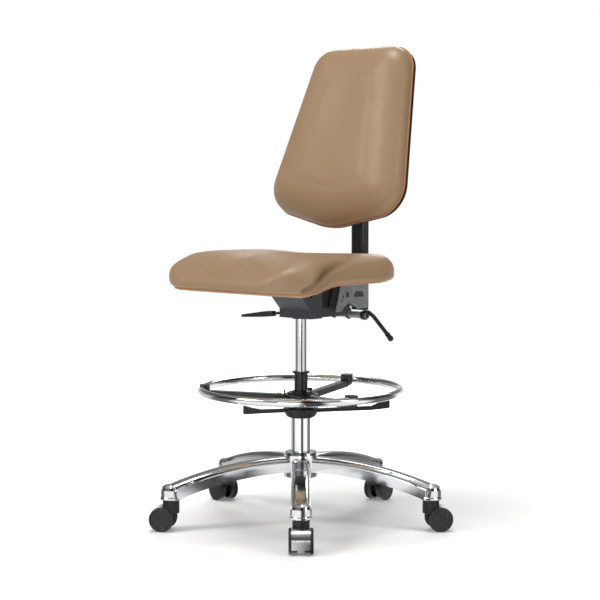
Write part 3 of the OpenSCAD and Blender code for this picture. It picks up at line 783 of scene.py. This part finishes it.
def build_materials():
    # Tan is the vinyl's own colour; the brown is the painted shade colour deep in its folds.
    tan, painted_shade_brown = (0.318, 0.206, 0.113), (0.088, 0.036, 0.012)
    return {
        "tan_vinyl": vinyl("tan_vinyl", tan, painted_shade_brown),
        "welt_vinyl": vinyl("welt_vinyl", (0.42, 0.19, 0.065), painted_shade_brown, paint_fold_shade=False),
        "thread": thread("tan_thread", (0.30, 0.18, 0.09)),
        "chrome_steel": chrome("chrome_steel", (0.90, 0.91, 0.92), 0.05, 0.13),
        "chrome_hood": chrome("chrome_hood", (0.88, 0.89, 0.90), 0.06, 0.15),
        "polished_base": chrome("polished_base", (0.87, 0.88, 0.89), 0.07, 0.16),
        "bare_steel": brushed("bare_steel", (0.62, 0.63, 0.65), 0.28),
        "zinc_steel": zinc("zinc_steel", (0.56, 0.58, 0.60)),
        "grey_steel": enamel("grey_steel", (0.040, 0.047, 0.056), (0.17, 0.18, 0.19), 0.34),
        "black_steel": enamel("black_steel", (0.010, 0.010, 0.011), (0.07, 0.07, 0.07), 0.34),
        "black_plastic": moulded("black_plastic", (0.011, 0.011, 0.012), 0.42, 1100),
        "gloss_plastic": moulded("gloss_plastic", (0.012, 0.012, 0.013), 0.20, 1400),
        "wheel_nylon": moulded("wheel_nylon", (0.014, 0.014, 0.015), 0.46, 900, dust=0.35),
        "plywood": plywood("plywood"),
    }


def paint_nodes(materials):
    """Gives every CAD node the material of its slot; the column's guide bush is a glossier plastic."""
    for row in frame["record"]["subparts"]:
        obj = NODES[row["node"]]
        slot_name = "gloss_plastic" if row["node"] == "column_guide" else row["material_slot"]
        if not obj.material_slots:
            obj.data.materials.append(materials[slot_name])
        for slot in obj.material_slots:
            slot.material = materials[slot_name]


def paint(obj, mat):
    obj.data.materials.clear()
    obj.data.materials.append(mat)


# ---- studio ----

def build_floor():
    """Pale round floor with a painted glow, an emission that rises from faint to plain white towards its
    rim.
    """
    turn = 2 * math.pi / FLOOR_SIDES
    verts = [(0, 0, 0)] + [
        (FLOOR_RADIUS * math.cos(k * turn), FLOOR_RADIUS * math.sin(k * turn), 0)
        for k in range(FLOOR_SIDES)
    ]
    faces = [(0, 1 + k, 1 + (k + 1) % FLOOR_SIDES) for k in range(FLOOR_SIDES)]
    floor = mesh_object("floor", verts, faces, smooth=False)
    p = Paint("floor_paint", (0.90, 0.90, 0.90), 0.75, Specular_IOR_Level=0.15)
    p.vary_color(p.ramp(p.noise(3, 3), 0.4, 0.7, 0, 0.3), (0.88, 0.88, 0.88))
    length = p.node("VectorMath", operation="LENGTH")
    p.link(p.coords, length.inputs[0])
    # Painted glow: the floor emits light, faint near the object and plain white towards its rim.
    p.bsdf.inputs["Emission Color"].default_value = (1, 1, 1, 1)
    p.link(p.ramp(length.outputs["Value"], 0.5, 2.2, 0.12, 1.0), p.bsdf.inputs["Emission Strength"])
    painted_floor_reflection(p, length.outputs["Value"])
    paint(floor, p.mat)


def painted_floor_reflection(p, radius):
    """Painted reflection: to glossy rays the floor is a glowing emission, banded like the walls and
    darker near the object, so polished metal reflects that in place of the lit floor.
    """
    split = p.node("SeparateXYZ")
    p.link(p.coords, split.inputs[0])
    # Painted reflection: an emission that glossy rays see in place of the floor.
    painted_reflection = p.node("Emission")
    p.link(studio_bands(p.tree, split), painted_reflection.inputs["Color"])
    p.link(p.ramp(radius, 0.20, 1.3, 0.85, 1.25), painted_reflection.inputs["Strength"])
    path = p.node("LightPath")
    choose = p.node("MixShader")
    p.link(path.outputs["Is Glossy Ray"], choose.inputs[0])
    p.link(p.bsdf.outputs[0], choose.inputs[1])
    p.link(painted_reflection.outputs[0], choose.inputs[2])
    p.link(choose.outputs[0], p.tree.nodes["Material Output"].inputs["Surface"])


def color_ramp(tree, stops):
    """Ramp of grey levels, given as (position, level)."""
    node = tree.nodes.new("ShaderNodeValToRGB")
    elements = node.color_ramp.elements
    while len(elements) < len(stops):
        elements.new(0.5)
    for e, (pos, v) in zip(elements, stops):
        e.position = pos
        e.color = (v, v, v, 1)
    return node


def studio_bands(tree, split):
    """Grey level by direction round the Z axis: bright walls with dark openings between them."""
    turn = tree.nodes.new("ShaderNodeMath")
    turn.operation = "ARCTAN2"
    tree.links.new(split.outputs["Y"], turn.inputs[0])
    tree.links.new(split.outputs["X"], turn.inputs[1])
    around = tree.nodes.new("ShaderNodeMapRange")
    for key, v in (("From Min", -math.pi), ("From Max", math.pi)):
        around.inputs[key].default_value = v
    tree.links.new(turn.outputs[0], around.inputs["Value"])
    bands = [
        (0.0, 0.55), (0.04, 0.55), (0.07, 0.12), (0.14, 0.15), (0.18, 0.85), (0.355, 0.95), (0.38, 0.06),
        (0.43, 0.06), (0.45, 0.85), (0.56, 0.9), (0.60, 0.15), (0.70, 0.15), (0.74, 1.0), (1.0, 0.55),
    ]
    walls = color_ramp(tree, bands)
    tree.links.new(around.outputs["Result"], walls.inputs["Fac"])
    return walls.outputs["Color"]


def build_world():
    """Bright studio walls with dark openings and a dim ceiling; the camera itself sees plain white."""
    world = bpy.data.worlds.new("studio")
    world.use_nodes = True
    tree = world.node_tree
    tree.nodes.clear()

    def add(kind, **values):
        n = tree.nodes.new("ShaderNode" + kind)
        for key, value in values.items():
            setattr(n, key, value)
        return n

    coords = add("TexCoord")
    split = add("SeparateXYZ")
    tree.links.new(coords.outputs["Generated"], split.inputs[0])
    rise = color_ramp(tree, [
        (0.0, 0.75), (0.47, 0.9), (0.50, 0.95), (0.555, 0.9), (0.61, 0.30),
        (0.76, 0.16), (0.88, 0.5), (1.0, 1.1),
    ])
    shift = add("MapRange")
    for key, v in (("From Min", -1.0), ("From Max", 1.0)):
        shift.inputs[key].default_value = v
    tree.links.new(split.outputs["Z"], shift.inputs["Value"])
    tree.links.new(shift.outputs["Result"], rise.inputs["Fac"])

    walls = studio_bands(tree, split)

    both = add("Mix", data_type="RGBA", blend_type="MULTIPLY")
    both.inputs[0].default_value = 1.0
    tree.links.new(rise.outputs["Color"], both.inputs[6])
    tree.links.new(walls, both.inputs[7])
    studio = add("Background")
    studio.inputs["Strength"].default_value = 0.95
    tree.links.new(both.outputs[2], studio.inputs["Color"])
    plain = add("Background")
    plain.inputs["Color"].default_value = (1, 1, 1, 1)
    plain.inputs["Strength"].default_value = 1.0
    path = add("LightPath")
    choose = add("MixShader")
    tree.links.new(path.outputs["Is Camera Ray"], choose.inputs[0])
    tree.links.new(studio.outputs[0], choose.inputs[1])
    tree.links.new(plain.outputs[0], choose.inputs[2])
    out = add("OutputWorld")
    tree.links.new(choose.outputs[0], out.inputs["Surface"])
    bpy.context.scene.world = world


def area_light(name, spot, aim, size, power):
    """Soft rectangular light at spot, turned towards aim."""
    light = bpy.data.lights.new(name, "AREA")
    light.shape = "RECTANGLE"
    light.size, light.size_y = size
    light.energy = power
    obj = link_object(name, light)
    obj.location = spot
    obj.rotation_euler = (Vector(aim) - Vector(spot)).to_track_quat("-Z", "Y").to_euler()


def build_lights():
    target = (0, 0, 0.6)
    area_light("key", (-1.4, -3.0, 3.2), target, (1.8, 1.3), 62)
    area_light("side", (3.4, 0.6, 2.2), target, (1.0, 1.6), 26)
    area_light("front", (1.9, -3.3, 0.55), (0, 0, 0.75), (1.6, 0.8), 17)
    area_light("rear", (-2.0, 3.0, 2.8), target, (1.8, 1.2), 42)
    area_light("top", (0, -0.3, 4.2), target, (1.5, 1.5), 75)


def build_camera():
    data = bpy.data.cameras.new("camera")
    data.lens = CAMERA_LENS
    data.sensor_width = 36
    data.clip_end = 50
    cam = link_object("camera", data)
    cam.location = (
        CAMERA_DISTANCE * math.sin(CAMERA_STAND),
        -CAMERA_DISTANCE * math.cos(CAMERA_STAND),
        CAMERA_HEIGHT,
    )
    cam.rotation_euler = (math.pi / 2 - CAMERA_PITCH, 0, CAMERA_AZIMUTH)
    bpy.context.scene.camera = cam


def main():
    build_camera()
    materials = build_materials()
    paint_nodes(materials)
    seat, back = build_seat(), build_back()
    seat_parts, back_parts = build_seat_seam(seat), build_back_seam(back)
    for pad, (cord, stitches) in ((seat, seat_parts), (back, back_parts)):
        paint(pad, materials["tan_vinyl"])
        paint(cord, materials["welt_vinyl"])
        paint(stitches, materials["thread"])
    build_floor()
    build_world()
    build_lights()
    bpy.context.scene.view_settings.view_transform = "Standard"


main()
